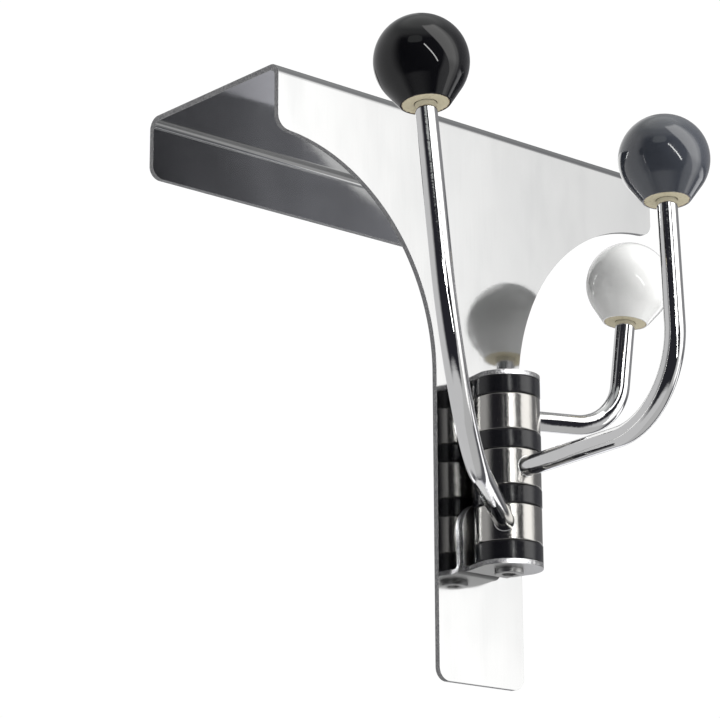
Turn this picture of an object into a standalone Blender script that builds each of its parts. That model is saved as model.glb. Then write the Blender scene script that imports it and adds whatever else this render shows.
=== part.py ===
"""Over-the-door hook rack with three swivelling arms.

Metres, +Z up.  X runs along the door, +Y goes from the front panel towards the back lip,
and Z is the height.  The origin is the middle of the flange's underside, the face that
rests on the door's top edge.
"""
import math

import bmesh
import bpy
from mathutils import Matrix, Vector

MM = 0.001

# ---- door plate: one bent sheet ----
SHEET = 1.4 * MM
PLATE_WIDTH = 120.8 * MM
PLATE_HEIGHT = 135.4 * MM
CHANNEL_DEPTH = 48.2 * MM
LIP_HEIGHT = 15.0 * MM
BEND_OUTER_RADIUS = 2.9 * MM
WING_HEIGHT = 15.8 * MM
WING_CORNER_RADIUS = 3.2 * MM
STRIP_WIDTH = 26.2 * MM
STRIP_CORNER_RADIUS = 3.0 * MM
SWEEP_ACROSS = 46.5 * MM
SWEEP_DOWN = 48.5 * MM
LIP_CORNER_RADIUS = 3.0 * MM

PLATE_FRONT_Y = -CHANNEL_DEPTH / 2
PLATE_TOP_Z = SHEET
PLATE_LOW_Z = PLATE_TOP_Z - PLATE_HEIGHT

# ---- pivot stack ----
AXIS_OFFSET = 9.2 * MM
AXIS_Y = PLATE_FRONT_Y - AXIS_OFFSET
STACK_TOP = PLATE_TOP_Z - 66.35 * MM
RING_PITCH = 4.25 * MM
COLLAR_PITCH = 8.6 * MM
RING_RADIUS = 7.85 * MM
COLLAR_RADIUS = 7.75 * MM
RING_EDGE = 0.35 * MM
COLLAR_EDGE = 0.45 * MM
GAP = 0.3 * MM
LUG_SHEET = 1.1 * MM
LUG_BACK_GAP = 0.05 * MM
LUG_BEND_INNER_RADIUS = 0.9 * MM
LUG_HALF_WIDTH = 6.6 * MM
LUG_WAIST = 0.2 * MM
LUG_FOOT_HEIGHT = 16.6 * MM
SLEEVE_RADIUS = 2.3 * MM
SLEEVE_BORE_RADIUS = 1.7 * MM
SLEEVE_HEAD_RADIUS = 3.3 * MM
SLEEVE_HEAD_HEIGHT = 1.1 * MM
SCREW_HEAD_RADIUS = 3.3 * MM
SCREW_HEAD_HEIGHT = 1.1 * MM
SCREW_SHANK_RADIUS = 1.4 * MM
SCREW_SHANK_LENGTH = 12.0 * MM
SOCKET_RADIUS = 1.75 * MM
SOCKET_DEPTH = 0.8 * MM

# ---- arms and knobs ----
ROD_RADIUS = 2.3 * MM
ROD_START = 4.6 * MM
ROD_IN_KNOB = 6.0 * MM
HOLE_PLAY = 0.3 * MM
KNOB_RADIUS = 10.0 * MM
KNOB_FLAT_BELOW_CENTRE = 9.6 * MM
KNOB_FLAT_RADIUS = 5.3 * MM

# name: bearing about the pivot axis, tilt about the root, straight length from the axis,
# bend radius, bend angle and straight length up to the knob's flat
ARMS = {
    "white": dict(bearing=-20.5, tilt=0.9, root=17.5 * MM, bend=11.6 * MM, turn=83.6,
                  stem=15.6 * MM, colour=(0.86, 0.86, 0.85)),
    "grey": dict(bearing=-96.9, tilt=-0.6, root=39.8 * MM, bend=19.9 * MM, turn=93.2,
                 stem=27.9 * MM, colour=(0.12, 0.125, 0.135)),
    "black": dict(bearing=-140.1, tilt=5.1, root=52.2 * MM, bend=35.1 * MM, turn=92.6,
                  stem=34.0 * MM, colour=(0.012, 0.012, 0.015)),
}

TURN_STEPS = 36
KNOB_STEPS = 32
EPS = 1e-6


# ---- scene and materials ----
def clear_scene():
    for obj in list(bpy.data.objects):
        bpy.data.objects.remove(obj, do_unlink=True)


def new_collection(name, hidden=False):
    group = bpy.data.collections.new(name)
    bpy.context.scene.collection.children.link(group)
    group.hide_render = hidden
    return group


def principled(name, colour, roughness, metallic, coat=0.0):
    material = bpy.data.materials.new(name)
    material.use_nodes = True
    shader = material.node_tree.nodes["Principled BSDF"]
    shader.inputs["Base Color"].default_value = (*colour, 1.0)
    shader.inputs["Roughness"].default_value = roughness
    shader.inputs["Metallic"].default_value = metallic
    shader.inputs["Coat Weight"].default_value = coat
    return material


# ---- points of outlines and profiles ----
def arc_points(centre, radii, start, end, steps):
    """Points of an elliptic arc from start to end, in degrees."""
    points = []
    for step in range(steps + 1):
        angle = math.radians(start + (end - start) * step / steps)
        points.append((centre[0] + radii[0] * math.cos(angle), centre[1] + radii[1] * math.sin(angle)))
    return points


def mirrored(points):
    """The points of a right half, followed by their mirror images in reverse."""
    return points + [(-x, y) for x, y in reversed(points)]


# ---- mesh builders ----
def mesh_object(name, mesh, group, material):
    obj = bpy.data.objects.new(name, mesh)
    group.objects.link(obj)
    mesh.materials.clear()
    mesh.materials.append(material)
    return obj


def finish_mesh(obj, sharp_angle=35.0):
    mesh = obj.data
    body = bmesh.new()
    body.from_mesh(mesh)
    bmesh.ops.remove_doubles(body, verts=body.verts, dist=EPS)
    bmesh.ops.recalc_face_normals(body, faces=body.faces)
    body.to_mesh(mesh)
    body.free()
    mesh.shade_smooth()
    mesh.set_sharp_from_angle(angle=math.radians(sharp_angle))
    return obj


def evaluated_mesh(obj):
    """A plain mesh of an object with its curve settings and modifiers applied."""
    bpy.context.view_layer.update()
    depsgraph = bpy.context.evaluated_depsgraph_get()
    return bpy.data.meshes.new_from_object(obj.evaluated_get(depsgraph))


def curve_to_mesh(curve_object, group, material):
    name = curve_object.name
    curve = curve_object.data
    mesh = evaluated_mesh(curve_object)
    matrix = curve_object.matrix_world.copy()
    bpy.data.objects.remove(curve_object)
    bpy.data.curves.remove(curve)
    obj = mesh_object(name, mesh, group, material)
    obj.matrix_world = matrix
    return finish_mesh(obj)


def flat_sheet(name, loops, thickness, group, material):
    """A flat piece from closed outlines in its own XY plane, centred on that plane."""
    curve = bpy.data.curves.new(name, "CURVE")
    curve.dimensions = "2D"
    curve.fill_mode = "BOTH"
    curve.extrude = thickness / 2
    for loop in loops:
        spline = curve.splines.new("POLY")
        spline.points.add(len(loop) - 1)
        for point, (x, y) in zip(spline.points, loop):
            point.co = (x, y, 0.0, 1.0)
        spline.use_cyclic_u = True
    obj = bpy.data.objects.new(name, curve)
    group.objects.link(obj)
    return curve_to_mesh(obj, group, material)


def fold(obj, start, direction, normal, path, steps=8):
    """Bends a flat sheet along its own Y.

    path holds ("straight", length) and ("bend", middle radius, degrees) in order.  start is
    where the flat sheet's Y = 0 goes, direction is the way the sheet leaves it, and normal
    is the side that the sheet's own +Z faces.
    """
    stations = []
    run = 0.0
    for item in path:
        length = item[1] if item[0] == "straight" else item[1] * math.radians(abs(item[2]))
        if item[0] == "bend":
            stations += [run + length * step / steps for step in range(steps + 1)]
        run += length
    body = bmesh.new()
    body.from_mesh(obj.data)
    for station in stations:
        geometry = body.verts[:] + body.edges[:] + body.faces[:]
        bmesh.ops.bisect_plane(body, geom=geometry, dist=EPS, plane_co=(0, station, 0), plane_no=(0, 1, 0))
    for vertex in body.verts:
        vertex.co = folded_point(vertex.co, start, direction, normal, path)
    body.to_mesh(obj.data)
    body.free()
    return finish_mesh(obj)


def folded_point(point, start, direction, normal, path):
    place = Vector(start)
    along = Vector(direction)
    side = Vector(normal)
    left = point.y
    for index, item in enumerate(path):
        last = index == len(path) - 1
        if item[0] == "straight":
            length = item[1]
            if left <= length + EPS or last:
                break
            place = place + along * length
        else:
            radius = item[1]
            turn = math.radians(item[2])
            length = radius * abs(turn)
            part = min(left / length, 1.0) * turn
            toward = -side if turn > 0 else side
            centre = place + toward * radius
            spin = Matrix.Rotation(part, 3, along.cross(toward) if turn > 0 else -along.cross(toward))
            place = centre + spin @ (place - centre)
            along = spin @ along
            side = spin @ side
            if left <= length + EPS:
                left = 0.0
                break
        left -= length
    return place + along * left + side * point.z + Vector((point.x, 0, 0))


def turned(name, profile, group, material, steps=TURN_STEPS):
    """A turned piece from (radius, height) points, listed down the outer side."""
    mesh = bpy.data.meshes.new(name)
    points = [(radius, 0.0, height) for radius, height in profile]
    edges = [(index, index + 1) for index in range(len(points) - 1)]
    closed = profile[0][0] > EPS
    if closed:
        edges.append((len(points) - 1, 0))
    mesh.from_pydata(points, edges, [])
    obj = bpy.data.objects.new(name, mesh)
    group.objects.link(obj)
    screw = obj.modifiers.new("turn", "SCREW")
    screw.axis = "Z"
    screw.steps = steps
    screw.render_steps = steps
    screw.use_merge_vertices = True
    screw.merge_threshold = 0.00001
    solid = evaluated_mesh(obj)
    bpy.data.objects.remove(obj)
    bpy.data.meshes.remove(mesh)
    return finish_mesh(mesh_object(name, solid, group, material))


def cylinder(name, radius, depth, centre, axis, group, material, vertices=TURN_STEPS):
    mesh = bpy.data.meshes.new(name)
    body = bmesh.new()
    bmesh.ops.create_cone(body, cap_ends=True, segments=vertices, radius1=radius, radius2=radius, depth=depth)
    body.to_mesh(mesh)
    body.free()
    obj = mesh_object(name, mesh, group, material)
    obj.rotation_mode = "QUATERNION"
    obj.rotation_quaternion = Vector(axis).to_track_quat("Z", "Y")
    obj.location = centre
    return obj


def rod(name, points, radius, group, material):
    curve = bpy.data.curves.new(name, "CURVE")
    curve.dimensions = "3D"
    curve.bevel_depth = radius
    curve.bevel_resolution = 4
    curve.use_fill_caps = True
    spline = curve.splines.new("POLY")
    spline.points.add(len(points) - 1)
    for point, place in zip(spline.points, points):
        point.co = (*place, 1.0)
    obj = bpy.data.objects.new(name, curve)
    group.objects.link(obj)
    return curve_to_mesh(obj, group, material)


def cut(obj, cutter, cutters):
    """Subtracts a cutter, which stays in the cutters' collection."""
    cutter.display_type = "WIRE"
    cutter.hide_render = True
    for group in list(cutter.users_collection):
        group.objects.unlink(cutter)
    cutters.objects.link(cutter)
    boolean = obj.modifiers.new("cut " + cutter.name, "BOOLEAN")
    boolean.operation = "DIFFERENCE"
    boolean.solver = "EXACT"
    boolean.object = cutter


# ---- the object's pieces ----
def plate_outline():
    """The plate's flat pattern: X across, Y from the strip's lower end to the lip's edge."""
    half_width = PLATE_WIDTH / 2
    half_strip = STRIP_WIDTH / 2
    middle_radius = BEND_OUTER_RADIUS - SHEET / 2
    bend_length = middle_radius * math.pi / 2
    front = PLATE_HEIGHT - BEND_OUTER_RADIUS
    flange = CHANNEL_DEPTH - 2 * BEND_OUTER_RADIUS
    total = front + bend_length + flange + bend_length + LIP_HEIGHT - BEND_OUTER_RADIUS
    wing_bottom = PLATE_HEIGHT - WING_HEIGHT

    centre = (half_strip + SWEEP_ACROSS, wing_bottom - SWEEP_DOWN)
    corner_x = half_width - WING_CORNER_RADIUS
    sweep_end = math.degrees(math.acos((corner_x - centre[0]) / SWEEP_ACROSS))
    right = arc_points((half_strip - STRIP_CORNER_RADIUS, STRIP_CORNER_RADIUS),
                       (STRIP_CORNER_RADIUS, STRIP_CORNER_RADIUS), -90, 0, 8)
    right += arc_points(centre, (SWEEP_ACROSS, SWEEP_DOWN), 180, sweep_end, 32)
    right += arc_points((corner_x, wing_bottom + WING_CORNER_RADIUS),
                        (WING_CORNER_RADIUS, WING_CORNER_RADIUS), -90, 0, 8)
    right += arc_points((half_width - LIP_CORNER_RADIUS, total - LIP_CORNER_RADIUS),
                        (LIP_CORNER_RADIUS, LIP_CORNER_RADIUS), 0, 90, 8)
    path = [("straight", front), ("bend", middle_radius, 90), ("straight", flange),
            ("bend", middle_radius, 90), ("straight", LIP_HEIGHT - BEND_OUTER_RADIUS)]
    return mirrored(right), path


def build_plate(group, material):
    outline, path = plate_outline()
    plate = flat_sheet("door_plate", [outline], SHEET, group, material)
    return fold(plate, (0, PLATE_FRONT_Y + SHEET / 2, PLATE_LOW_Z), (0, 0, 1), (0, -1, 0), path)


def build_lug(name, tab_inner, upward, group, material):
    """An L-shaped lug.  tab_inner is the height of the tab's face on the rings' side, and
    upward is 1 for the lower lug, whose foot goes up the plate, and -1 for the upper one."""
    middle_radius = LUG_BEND_INNER_RADIUS + LUG_SHEET / 2
    outer_radius = LUG_BEND_INNER_RADIUS + LUG_SHEET
    foot = LUG_FOOT_HEIGHT - outer_radius
    bend_length = middle_radius * math.pi / 2
    reach = AXIS_OFFSET - LUG_BACK_GAP - outer_radius
    axis_at = foot + bend_length + reach
    waist_at = foot + bend_length / 2
    half_waist = LUG_HALF_WIDTH - LUG_WAIST
    right = arc_points((0, LUG_HALF_WIDTH), (LUG_HALF_WIDTH, LUG_HALF_WIDTH), -90, 0, 16)
    right.append((half_waist, waist_at - bend_length))
    right.append((half_waist, waist_at + bend_length))
    right += arc_points((0, axis_at), (RING_RADIUS, RING_RADIUS), 0, 90, 16)
    hole = arc_points((0, axis_at), (SLEEVE_RADIUS + GAP, SLEEVE_RADIUS + GAP), 0, 350, 35)
    right = right[1:-1]
    outline = mirrored(right)
    outline.append((0.0, 0.0))
    outline.insert(len(right), (0.0, axis_at + RING_RADIUS))
    lug = flat_sheet(name, [outline, hole], LUG_SHEET, group, material)
    foot_middle = PLATE_FRONT_Y - LUG_BACK_GAP - LUG_SHEET / 2
    far_end = tab_inner - upward * LUG_SHEET + upward * LUG_FOOT_HEIGHT
    path = [("straight", foot), ("bend", middle_radius, 90), ("straight", reach + RING_RADIUS)]
    return fold(lug, (0, foot_middle, far_end), (0, 0, -upward), (0, 1, 0), path)


def build_ring(name, top, group, material):
    height = RING_PITCH - GAP
    bore = SLEEVE_RADIUS + GAP
    lower = top - height
    profile = [(bore, top), (RING_RADIUS - RING_EDGE, top), (RING_RADIUS, top - RING_EDGE),
               (RING_RADIUS, lower + RING_EDGE), (RING_RADIUS - RING_EDGE, lower), (bore, lower)]
    ring = turned(name, profile, group, material)
    ring.location = (0, AXIS_Y, 0)
    return ring


def build_collar(name, pivot, group, cutters, material):
    half = (COLLAR_PITCH - GAP) / 2
    bore = SLEEVE_RADIUS + GAP
    edge = COLLAR_RADIUS - COLLAR_EDGE
    profile = [(bore, half), (edge, half), (COLLAR_RADIUS, half - COLLAR_EDGE),
               (COLLAR_RADIUS, COLLAR_EDGE - half), (edge, -half), (bore, -half)]
    collar = turned(name, profile, group, material)
    collar.parent = pivot
    hole_start = ROD_START - GAP
    depth = COLLAR_RADIUS + MM - hole_start
    hole = cylinder(name + "_hole", ROD_RADIUS + GAP / 2, depth, (hole_start + depth / 2, 0, 0),
                    (1, 0, 0), group, material)
    hole.parent = pivot
    cut(collar, hole, cutters)
    return collar


def arm_end(shape):
    """The stem's lower end, its direction, and the arc's points, in the arm's XZ plane."""
    turn = math.radians(shape["turn"])
    steps = max(8, round(shape["turn"] / 5))
    arc = []
    for step in range(steps + 1):
        angle = turn * step / steps
        arc.append((shape["root"] + shape["bend"] * math.sin(angle), 0.0,
                    shape["bend"] * (1 - math.cos(angle))))
    return arc, Vector((math.cos(turn), 0.0, math.sin(turn)))


def build_arm_rod(name, shape, tilt, group, material):
    arc, direction = arm_end(shape)
    end = Vector(arc[-1]) + direction * (shape["stem"] + ROD_IN_KNOB)
    points = [(ROD_START, 0.0, 0.0)] + arc + [tuple(end)]
    arm = rod(name, points, ROD_RADIUS, group, material)
    arm.parent = tilt
    return arm


def knob_profile():
    """A ball that runs into a cone down to its flat, with a blind hole for the rod."""
    rim = math.hypot(KNOB_FLAT_RADIUS, KNOB_FLAT_BELOW_CENTRE)
    rim_angle = math.degrees(math.atan2(KNOB_FLAT_RADIUS, KNOB_FLAT_BELOW_CENTRE))
    tangent = rim_angle + math.degrees(math.acos(KNOB_RADIUS / rim))
    hole_radius = ROD_RADIUS + HOLE_PLAY
    hole_top = -KNOB_FLAT_BELOW_CENTRE + ROD_IN_KNOB + GAP
    profile = arc_points((0, 0), (KNOB_RADIUS, KNOB_RADIUS), 90, tangent - 90, 16)
    profile[0] = (0.0, KNOB_RADIUS)
    profile.append((KNOB_FLAT_RADIUS, -KNOB_FLAT_BELOW_CENTRE))
    profile.append((hole_radius, -KNOB_FLAT_BELOW_CENTRE))
    profile.append((hole_radius, hole_top))
    profile.append((0.0, hole_top))
    return profile


def build_knob(name, shape, tilt, group, material):
    arc, direction = arm_end(shape)
    centre = Vector(arc[-1]) + direction * (shape["stem"] + KNOB_FLAT_BELOW_CENTRE)
    knob = turned(name, knob_profile(), group, material, KNOB_STEPS)
    knob.parent = tilt
    knob.location = centre
    knob.rotation_euler = (0, math.radians(90 - shape["turn"]), 0)
    return knob


def build_sleeve(group, material):
    """The pivot tube, with a thin head above the upper lug."""
    tab_top = STACK_TOP + LUG_SHEET
    head_low = tab_top + GAP / 2
    head_top = head_low + SLEEVE_HEAD_HEIGHT
    low = STACK_TOP - stack_height() - LUG_SHEET
    profile = [(0.0, head_top), (SLEEVE_HEAD_RADIUS, head_top), (SLEEVE_HEAD_RADIUS, head_low),
               (SLEEVE_RADIUS, head_low), (SLEEVE_RADIUS, low), (SLEEVE_BORE_RADIUS, low),
               (SLEEVE_BORE_RADIUS, head_low - MM), (0.0, head_low - MM)]
    sleeve = turned("pivot_sleeve", profile, group, material)
    sleeve.location = (0, AXIS_Y, 0)
    return sleeve


def build_screw(group, cutters, material):
    """The socket screw that closes the pivot from below."""
    head_top = STACK_TOP - stack_height() - LUG_SHEET - GAP / 2
    head_low = head_top - SCREW_HEAD_HEIGHT
    edge = 0.3 * MM
    profile = [(0.0, head_top + SCREW_SHANK_LENGTH), (SCREW_SHANK_RADIUS, head_top + SCREW_SHANK_LENGTH),
               (SCREW_SHANK_RADIUS, head_top), (SCREW_HEAD_RADIUS, head_top),
               (SCREW_HEAD_RADIUS, head_low + edge), (SCREW_HEAD_RADIUS - edge, head_low), (0.0, head_low)]
    screw = turned("pivot_screw", profile, group, material)
    screw.location = (0, AXIS_Y, 0)
    socket = cylinder("screw_socket", SOCKET_RADIUS, 2 * SOCKET_DEPTH, (0, AXIS_Y, head_low),
                      (0, 0, 1), group, material, vertices=6)
    cut(screw, socket, cutters)
    return screw


def stack_height():
    return 4 * RING_PITCH + 3 * COLLAR_PITCH


def build_arms(group, cutters, steel, lacquers):
    """Collar, rod and knob of each arm, under an empty on the pivot axis."""
    for index, (name, shape) in enumerate(ARMS.items()):
        height = STACK_TOP - (index + 1) * RING_PITCH - (index + 0.5) * COLLAR_PITCH
        pivot = bpy.data.objects.new("pivot_" + name, None)
        group.objects.link(pivot)
        pivot.location = (0, AXIS_Y, height)
        pivot.rotation_euler = (0, 0, math.radians(shape["bearing"]))
        tilt = bpy.data.objects.new("tilt_" + name, None)
        group.objects.link(tilt)
        tilt.parent = pivot
        tilt.rotation_euler = (math.radians(shape["tilt"]), 0, 0)
        build_collar("collar_" + name, pivot, group, cutters, steel)
        build_arm_rod("arm_" + name, shape, tilt, group, steel)
        build_knob("knob_" + name, shape, tilt, group, lacquers[name])


def build_rings(group, material):
    for index in range(4):
        top = STACK_TOP - index * (RING_PITCH + COLLAR_PITCH) - GAP / 2
        build_ring(f"spacer_ring_{index + 1}", top, group, material)


def main():
    clear_scene()
    group = new_collection("over_door_swivel_hook")
    cutters = new_collection("cutters", hidden=True)
    polished = principled("polished_sheet", (0.80, 0.80, 0.80), 0.08, 1.0)
    satin = principled("satin_steel", (0.66, 0.66, 0.66), 0.32, 1.0)
    chrome = principled("chrome", (0.78, 0.78, 0.79), 0.06, 1.0)
    plastic = principled("black_plastic", (0.012, 0.012, 0.014), 0.22, 0.0)
    lacquers = {}
    for name, shape in ARMS.items():
        lacquers[name] = principled("lacquer_" + name, shape["colour"], 0.12, 0.0, coat=0.6)
    stack_low = STACK_TOP - stack_height()
    build_plate(group, polished)
    build_lug("lug_upper", STACK_TOP, -1, group, satin)
    build_lug("lug_lower", stack_low, 1, group, satin)
    build_sleeve(group, satin)
    build_screw(group, cutters, satin)
    build_rings(group, plastic)
    build_arms(group, cutters, chrome, lacquers)


main()
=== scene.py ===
"""Looks of the over-the-door swivel hook: finer pieces, finishes, studio light and camera.

Metres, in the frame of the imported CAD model: X along the door, +Y from the front panel
towards the back lip, +Z up, with the origin in the middle of the flange's underside.
"""

import math

import bmesh
import bpy
from mathutils import Matrix, Vector


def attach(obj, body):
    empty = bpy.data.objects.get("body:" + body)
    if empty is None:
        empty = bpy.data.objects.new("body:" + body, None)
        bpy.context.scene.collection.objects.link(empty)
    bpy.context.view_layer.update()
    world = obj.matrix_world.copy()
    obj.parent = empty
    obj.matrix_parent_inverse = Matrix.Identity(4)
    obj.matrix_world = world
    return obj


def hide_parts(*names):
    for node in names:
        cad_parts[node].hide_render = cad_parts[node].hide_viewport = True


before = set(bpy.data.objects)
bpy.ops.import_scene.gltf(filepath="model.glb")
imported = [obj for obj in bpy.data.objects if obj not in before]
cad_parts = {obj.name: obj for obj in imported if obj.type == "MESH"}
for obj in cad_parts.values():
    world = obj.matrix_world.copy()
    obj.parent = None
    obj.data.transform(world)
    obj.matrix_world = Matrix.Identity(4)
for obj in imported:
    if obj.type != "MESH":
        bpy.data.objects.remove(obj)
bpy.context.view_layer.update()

MM = 0.001
EPS = 1e-6

# ---- camera ----
CAMERA_PLACE = (-0.42716, -0.47534, -0.23367)
CAMERA_TURN = (105.864, 0.159, -40.850)
CAMERA_LENS = 138.305
SENSOR = 36.0

# ---- door plate ----
SHEET = 1.4 * MM
PLATE_WIDTH = 120.8 * MM
PLATE_HEIGHT = 135.4 * MM
CHANNEL_DEPTH = 48.2 * MM
LIP_HEIGHT = 15.0 * MM
BEND_OUTER_RADIUS = 2.9 * MM
WING_HEIGHT = 15.8 * MM
WING_CORNER_RADIUS = 3.2 * MM
STRIP_WIDTH = 26.2 * MM
STRIP_CORNER_RADIUS = 3.0 * MM
SWEEP_ACROSS = 46.5 * MM
SWEEP_DOWN = 48.5 * MM
LIP_CORNER_RADIUS = 3.0 * MM
PLATE_EDGE = 0.28 * MM

PLATE_FRONT_Y = -CHANNEL_DEPTH / 2
PLATE_TOP_Z = SHEET
PLATE_LOW_Z = PLATE_TOP_Z - PLATE_HEIGHT

# ---- pivot stack ----
AXIS_OFFSET = 9.2 * MM
AXIS_Y = PLATE_FRONT_Y - AXIS_OFFSET
STACK_TOP = PLATE_TOP_Z - 66.35 * MM
RING_PITCH = 4.25 * MM
COLLAR_PITCH = 8.6 * MM
RING_RADIUS = 7.85 * MM
COLLAR_RADIUS = 7.75 * MM
RING_EDGE = 0.3 * MM
COLLAR_EDGE = 0.4 * MM
SEAM = 0.04 * MM
BORE_RADIUS = 2.6 * MM
LUG_SHEET = 1.1 * MM
LUG_BACK_GAP = 0.05 * MM
LUG_BEND_INNER_RADIUS = 0.9 * MM
LUG_HALF_WIDTH = 6.6 * MM
LUG_WAIST = 0.2 * MM
LUG_FOOT_HEIGHT = 16.6 * MM
LUG_EDGE = 0.2 * MM
TAB_RADIUS = 7.85 * MM
SLEEVE_RADIUS = 2.3 * MM
SLEEVE_BORE_RADIUS = 1.7 * MM
SLEEVE_HEAD_RADIUS = 3.3 * MM
SLEEVE_HEAD_HEIGHT = 1.1 * MM
SCREW_HEAD_RADIUS = 3.3 * MM
SCREW_HEAD_HEIGHT = 1.1 * MM
SCREW_SHANK_RADIUS = 1.4 * MM
SCREW_SHANK_LENGTH = 12.0 * MM
SOCKET_RADIUS = 1.75 * MM
SOCKET_DEPTH = 0.8 * MM
HEAD_GAP = 0.03 * MM
STACK_HEIGHT = 4 * RING_PITCH + 3 * COLLAR_PITCH
STACK_LOW = STACK_TOP - STACK_HEIGHT

# ---- arms and knobs ----
ROD_RADIUS = 2.3 * MM
ROD_START = 4.6 * MM
ROD_IN_KNOB = 6.0 * MM
ROOT_FILLET = 0.14 * MM
HOLE_RADIUS = 2.38 * MM
KNOB_RADIUS = 10.0 * MM
KNOB_FLAT_BELOW_CENTRE = 9.6 * MM
KNOB_FLAT_RADIUS = 5.3 * MM
FLAT_RECESS = 0.05 * MM

# name: bearing about the pivot axis, tilt about the root, straight length from the axis,
# bend radius, bend angle, straight length up to the knob's flat, paint, blur of its clear
# coat and shine under it
ARMS = {
    "white": dict(bearing=-20.5, tilt=0.9, root=17.5 * MM, bend=11.6 * MM, turn=83.6,
                  stem=15.6 * MM, colour=(0.80, 0.80, 0.79), gloss=0.05, shine=0.1),
    "grey": dict(bearing=-96.9, tilt=-0.6, root=39.8 * MM, bend=19.9 * MM, turn=93.2,
                 stem=27.9 * MM, colour=(0.045, 0.050, 0.062), gloss=0.05, shine=0.5),
    "black": dict(bearing=-140.1, tilt=5.1, root=52.2 * MM, bend=35.1 * MM, turn=92.6,
                  stem=34.0 * MM, colour=(0.0035, 0.0035, 0.0045), gloss=0.04, shine=0.0),
}

# ---- studio settings ----
# Azimuths run from the studio's dark side, positive to its right; angles are in degrees.
FLOOR_Z = -0.30
FLOOR_HALF_SIZE = 4.0
STUDIO_TURN = 40.9
BACKDROP = 1.02

WALL = (0.60, 0.60, 0.605)
RIGHT_WALL = (0.27, 0.27, 0.28)
RIGHT_WALL_FROM = (84.0, 104.0)
LOW_GROUND = (0.50, 0.50, 0.50)
LOW_GROUND_BELOW = (-40.0, -26.0)
LOW_GROUND_FROM = (40.0, 60.0)
BEHIND = (0.10, 0.10, 0.11)
BEHIND_WIDTH = (109.0, 195.0)
BEHIND_HEIGHT = (-30.0, 4.0)
DUSK = (1.05, 1.05, 1.12)
DUSK_RISE = (160.0, 176.0)
DUSK_FALL = (177.5, 186.0)
DUSK_HEIGHT = (-26.0, -15.0)
HIGH = (0.42, 0.43, 0.43)
HIGH_FROM = (36.0, 60.0)
CEILING = (0.75, 0.76, 0.75)
CEILING_FROM = (56.0, 72.0)
DARK = (0.022, 0.022, 0.028)
DARK_LEFT = (-82.0, -50.0)
DARK_RIGHT = (48.0, 60.0)
DARK_TOP = (34.0, 56.0)
DARK_LOW = (-54.0, -40.0)
PANEL_SLANT = 0.8
DARK_EDGE = (58.0, 61.0)
SMALL_PANEL = (0.55, 0.57, 0.56)
SMALL_PANEL_CENTRE = (-17.0, 34.0)
SMALL_PANEL_SIZE = (18.0, 9.0)
SMALL_PANEL_SHARE = 0.8
LARGE_PANEL = (2.16, 2.15, 2.12)
LARGE_PANEL_EDGE = (60.0, 62.0)
LARGE_PANEL_HEIGHT = (-30.0, 72.0)
LARGE_PANEL_DIM_BELOW = (-12.0, 4.0)
LARGE_PANEL_DIM = 0.55
FAR_SLANT = 0.31
FAR_DIM = 0.47
FAR_DIM_OVER = (84.2, 93.0)
FAR_END = (95.0, 102.0)
LAMP = (12.0, 12.0, 11.8)
LAMP_WAY = (0.688, -0.726)
LAMP_LENGTH = (-12.0, 39.0)
LAMP_WIDTH = (16.8, 19.2)
GLOW = (1.35, 1.35, 1.37)
GLOW_HEIGHT = (-14.5, -4.0)

# azimuth, elevation, distance and size of the lights, in degrees and metres
LIT_POINT = (-0.01, -0.05, -0.06)
KEY = (72.0, 38.0, 1.5, (0.9, 0.9))
KEY_POWER = 21.0
STRIP = (20.0, 24.0, 1.4, (0.46, 0.9))
STRIP_BRIGHTNESS = 2.2
FILL = (26.0, 10.0, 1.4, (0.3, 0.5))
FILL_POWER = 58.0


# ---- node trees ----
class Tree:
    """Short calls for making the nodes of a material or of the world."""

    def __init__(self, owner):
        owner.use_nodes = True
        self.owner = owner
        self.nodes = owner.node_tree.nodes
        self.links = owner.node_tree.links

    def put(self, socket, value):
        if isinstance(value, bpy.types.NodeSocket):
            self.links.new(value, socket)
        elif value is not None:
            socket.default_value = value

    def make(self, kind, inputs=(), output=0, **settings):
        node = self.nodes.new(kind)
        for name, value in settings.items():
            setattr(node, name, value)
        for index, value in enumerate(inputs):
            self.put(node.inputs[index], value)
        return node.outputs[output]

    def math(self, operation, first, second=None, third=None):
        return self.make("ShaderNodeMath", (first, second, third), operation=operation)

    def smooth(self, value, low, high, start=0.0, end=1.0):
        """start below low, end above high, and smooth between."""
        return self.make("ShaderNodeMapRange", (value, low, high, start, end),
                         interpolation_type="SMOOTHSTEP")

    def spread(self, value, low, high, start, end):
        return self.make("ShaderNodeMapRange", (value, low, high, start, end))

    def within(self, value, low, high, soft):
        """1 between low and high, 0 outside, with soft borders."""
        rise = self.smooth(value, low - soft, low + soft)
        fall = self.smooth(value, high - soft, high + soft, 1.0, 0.0)
        return self.math("MULTIPLY", rise, fall)

    def blend(self, share, first, second):
        """A colour mixed from two by share."""
        node = self.nodes.new("ShaderNodeMix")
        node.data_type = "RGBA"
        self.put(node.inputs["Factor"], share)
        for name, value in (("A", first), ("B", second)):
            colour = value if isinstance(value, bpy.types.NodeSocket) else (*value, 1.0)
            self.put([s for s in node.inputs if s.name == name and s.type == "RGBA"][0], colour)
        return [s for s in node.outputs if s.type == "RGBA"][0]


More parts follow.
